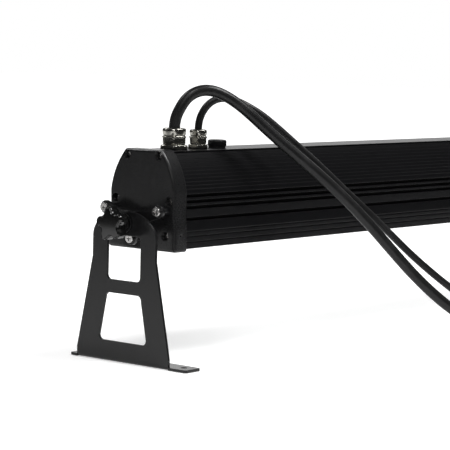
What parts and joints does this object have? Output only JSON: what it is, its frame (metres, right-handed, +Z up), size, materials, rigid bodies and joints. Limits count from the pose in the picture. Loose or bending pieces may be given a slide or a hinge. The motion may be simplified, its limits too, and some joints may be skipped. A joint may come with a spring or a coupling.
{
  "type": "outdoor wall washer light",
  "caption": "Long finned bar luminaire with a lens window underneath, hung between two slotted stands, tilted about its ends and clamped by knobs.",
  "frame": {"origin": "on the ground, midway between the two stands, under the tilt axis", "axes": "+X along the bar from the end with the cable glands to the other end, +Y across the bar, +Z up from the ground the stands stand on; the light window faces -Z at rest"},
  "size_m": [1.1, 0.338, 0.2841],
  "materials": {
    "black_anodised": "black anodised, satin",
    "black_cast": "black powder coat on cast aluminium, satin",
    "black_sheet": "black powder coat on steel, satin",
    "black_screw": "blackened steel",
    "bright_steel": "stainless steel, bright",
    "nickel": "dark nickel plate on brass",
    "brass": "turned brass",
    "black_rubber": "matt",
    "lead_jacket": "smooth rubber jacket",
    "gloss_knob": "black, polished",
    "black_plastic": "black, matt",
    "clear_glass": "clear toughened glass",
    "clear_lens": "clear acrylic",
    "board_white": "aluminium board, white mask",
    "emitter_yellow": "phosphor",
    "board_green": "green solder mask",
    "driver_case": "grey potted case"
  },
  "bodies": {
    "left_stand": {"stand_left": "black_sheet", "knob_washer_left": "bright_steel", "mains_coil": "lead_jacket", "coil_tie": "black_plastic", "mains_plug": "lead_jacket", "mains_plug_pins": "nickel", "mains_strain_relief": "lead_jacket", "data_connector": "black_plastic", "data_connector_ring": "black_plastic", "data_contacts": "brass", "data_strain_relief": "lead_jacket"},
    "lamp": {"housing_extrusion": "black_anodised", "end_cap_left": "black_cast", "end_cap_right": "black_cast", "cap_gasket_left": "black_rubber", "cap_gasket_right": "black_rubber", "cap_screws_left": "bright_steel", "cap_screws_right": "bright_steel", "cap_grub_screws": "black_screw", "front_glass": "clear_glass", "glass_strips": "black_rubber", "lenses": "clear_lens", "light_board": "board_white", "light_emitters": "emitter_yellow", "board_screws": "bright_steel", "driver_module": "driver_case", "control_board": "board_green", "board_standoffs": "brass", "terminal_block": "black_plastic", "mains_gland_body": "nickel", "mains_gland_nut": "nickel", "mains_gland_seal": "black_rubber", "mains_gland_washer": "black_rubber", "mains_locknut": "nickel", "data_gland_body": "nickel", "data_gland_nut": "nickel", "data_gland_seal": "black_rubber", "data_gland_washer": "black_rubber", "data_locknut": "nickel", "vent_plug": "black_plastic", "vent_seal": "black_rubber", "pivot_plate_left": "black_sheet", "pivot_spacers_left": "bright_steel", "pivot_screws_left": "bright_steel", "pivot_stud_left": "bright_steel", "friction_washer_left": "black_rubber", "pivot_plate_right": "black_sheet", "pivot_spacers_right": "bright_steel", "pivot_screws_right": "bright_steel", "pivot_stud_right": "bright_steel", "friction_washer_right": "black_rubber", "mains_lead": "lead_jacket", "data_lead": "lead_jacket"},
    "right_stand": {"stand_right": "black_sheet", "knob_washer_right": "bright_steel"},
    "left_knob": {"knob_left": "gloss_knob", "knob_insert_left": "brass"},
    "right_knob": {"knob_right": "gloss_knob", "knob_insert_right": "brass"}
  },
  "joints": [
    {"name": "lamp_tilt", "type": "hinge", "parent": "left_stand", "child": "lamp", "pos_m": [0, 0, 0.145], "axis": [1, 0, 0], "range_deg": [-90, 90]},
    {"name": "right_stand_turn", "type": "hinge", "parent": "lamp", "child": "right_stand", "pos_m": [0.5, 0, 0.145], "axis": [1, 0, 0], "range_deg": [-90, 90]},
    {"name": "left_knob_turn", "type": "hinge", "parent": "lamp", "child": "left_knob", "pos_m": [-0.53, 0, 0.145], "axis": [-1, 0, 0], "continuous": true},
    {"name": "right_knob_turn", "type": "hinge", "parent": "lamp", "child": "right_knob", "pos_m": [0.53, 0, 0.145], "axis": [1, 0, 0], "continuous": true}
  ],
  "couplings": [
    {"joint": "right_stand_turn", "follows": "lamp_tilt", "ratio": -1}
  ]
}
